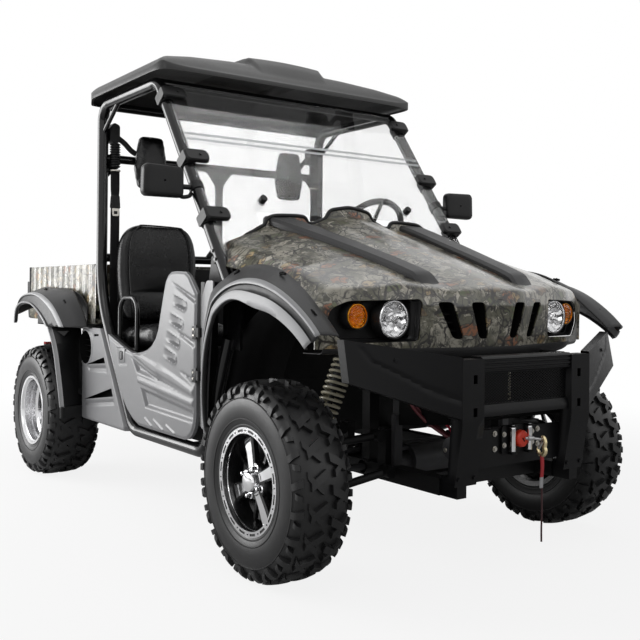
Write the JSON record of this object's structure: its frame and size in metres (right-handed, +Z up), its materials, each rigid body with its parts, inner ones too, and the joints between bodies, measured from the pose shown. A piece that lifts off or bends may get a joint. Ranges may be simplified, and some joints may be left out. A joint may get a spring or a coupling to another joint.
{
  "type": "side-by-side utility vehicle",
  "caption": "Two-seat open-cab utility vehicle with roll cage, hard roof, clear windshield, half doors, tipping cargo bed, winch and knobby tyres.",
  "frame": {"origin": "on the ground at the middle of the vehicle's length and width", "axes": "+X towards the front, +Y towards the vehicle's left, +Z up"},
  "size_m": [3.052, 1.638, 1.902],
  "materials": {
    "tyre": "knobby rubber",
    "front_rim": "black with machined faces",
    "rear_rim": "machined barrel, black centre",
    "tube": "satin black",
    "frame_black": "satin black",
    "spring": "cream paint",
    "steel": "plated steel",
    "dark_metal": "dark grey block",
    "body_print": "printed camouflage",
    "black_plastic": "satin moulding",
    "charcoal_plastic": "satin moulding",
    "grey_plastic": "satin moulding",
    "clear": "clear sheet and lenses",
    "amber": "amber lens",
    "red_lens": "red lens",
    "vinyl": "black vinyl",
    "webbing": "woven webbing",
    "gate_plastic": "black moulding",
    "winch_metal": "black and bright parts",
    "hook_zinc": "zinc plate",
    "strap": "red woven strap"
  },
  "bodies": {
    "chassis": {"roll_cage": "tube", "frame": "frame_black", "suspension_arms": "frame_black", "bumper": "frame_black", "bumper_mesh": "frame_black", "shock_absorbers": "spring", "rear_carriers": "steel", "driveline": "steel", "engine": "dark_metal", "radiator": "dark_metal", "exhaust": "dark_metal", "front_body": "body_print", "hood_strips": "black_plastic", "cab_tub": "black_plastic", "dash": "black_plastic", "windshield_clamps": "black_plastic", "mirrors": "black_plastic", "lamp_bezels": "black_plastic", "roof": "charcoal_plastic", "front_flares": "charcoal_plastic", "rear_fenders": "charcoal_plastic", "side_panels": "grey_plastic", "headlamps": "clear", "windshield": "clear", "turn_signals": "amber", "tail_lamps": "red_lens", "seat_cushions": "vinyl", "seat_backs": "vinyl", "headrests": "vinyl", "seat_belts": "webbing", "winch": "winch_metal", "fairlead": "winch_metal", "winch_hook": "hook_zinc", "pull_strap": "strap", "strap_tail": "strap"},
    "knuckle_left": {"knuckle_left": "steel"},
    "knuckle_right": {"knuckle_right": "steel"},
    "steering_rack": {"steering_rack": "steel"},
    "steering_wheel": {"steering_wheel": "black_plastic"},
    "wheel_front_left": {"front_tyre_left": "tyre", "front_rim_left": "front_rim"},
    "wheel_front_right": {"front_tyre_right": "tyre", "front_rim_right": "front_rim"},
    "wheel_rear_left": {"rear_tyre_left": "tyre", "rear_rim_left": "rear_rim"},
    "wheel_rear_right": {"rear_tyre_right": "tyre", "rear_rim_right": "rear_rim"},
    "door_left": {"door_left": "grey_plastic"},
    "door_right": {"door_right": "grey_plastic"},
    "bed": {"bed": "body_print"},
    "tailgate": {"tailgate": "gate_plastic"}
  },
  "joints": [
    {"name": "steer_left", "type": "hinge", "parent": "chassis", "child": "knuckle_left", "pos_m": [1.03, 0.575, 0.311], "axis": [0, 0, 1], "range_deg": [-25, 25]},
    {"name": "steer_right", "type": "hinge", "parent": "chassis", "child": "knuckle_right", "pos_m": [1.03, -0.575, 0.311], "axis": [0, 0, 1], "range_deg": [-26, 26]},
    {"name": "rack_slide", "type": "slide", "parent": "chassis", "child": "steering_rack", "axis": [0, 1, 0], "range_m": [-0.037, 0.037]},
    {"name": "steering_wheel_turn", "type": "hinge", "parent": "chassis", "child": "steering_wheel", "pos_m": [0.27, 0.35, 1.15], "axis": [-0.8192, 0, 0.5736], "range_deg": [-275, 275]},
    {"name": "spin_front_left", "type": "hinge", "parent": "knuckle_left", "child": "wheel_front_left", "pos_m": [1.03, 0.64, 0.311], "axis": [0, 1, 0], "continuous": true},
    {"name": "spin_front_right", "type": "hinge", "parent": "knuckle_right", "child": "wheel_front_right", "pos_m": [1.03, -0.64, 0.311], "axis": [0, 1, 0], "continuous": true},
    {"name": "spin_rear_left", "type": "hinge", "parent": "chassis", "child": "wheel_rear_left", "pos_m": [-0.92, 0.651, 0.311], "axis": [0, 1, 0], "continuous": true},
    {"name": "spin_rear_right", "type": "hinge", "parent": "chassis", "child": "wheel_rear_right", "pos_m": [-0.92, -0.651, 0.311], "axis": [0, 1, 0], "continuous": true},
    {"name": "door_left_swing", "type": "hinge", "parent": "chassis", "child": "door_left", "pos_m": [0.543, 0.637, 0.6], "axis": [0, 0, -1], "range_deg": [0, 70]},
    {"name": "door_right_swing", "type": "hinge", "parent": "chassis", "child": "door_right", "pos_m": [0.543, -0.637, 0.6], "axis": [0, 0, 1], "range_deg": [0, 70]},
    {"name": "bed_tip", "type": "hinge", "parent": "chassis", "child": "bed", "pos_m": [-1.345, 0, 0.712], "axis": [0, -1, 0], "range_deg": [0, 45]},
    {"name": "tailgate_drop", "type": "hinge", "parent": "bed", "child": "tailgate", "pos_m": [-1.492, 0, 0.746], "axis": [0, -1, 0], "range_deg": [0, 90]}
  ],
  "couplings": [
    {"joint": "steer_right", "follows": "steer_left", "ratio": 1},
    {"joint": "rack_slide", "follows": "steer_left", "m_per_rad": -0.08},
    {"joint": "steering_wheel_turn", "follows": "steer_left", "ratio": 10.8}
  ]
}
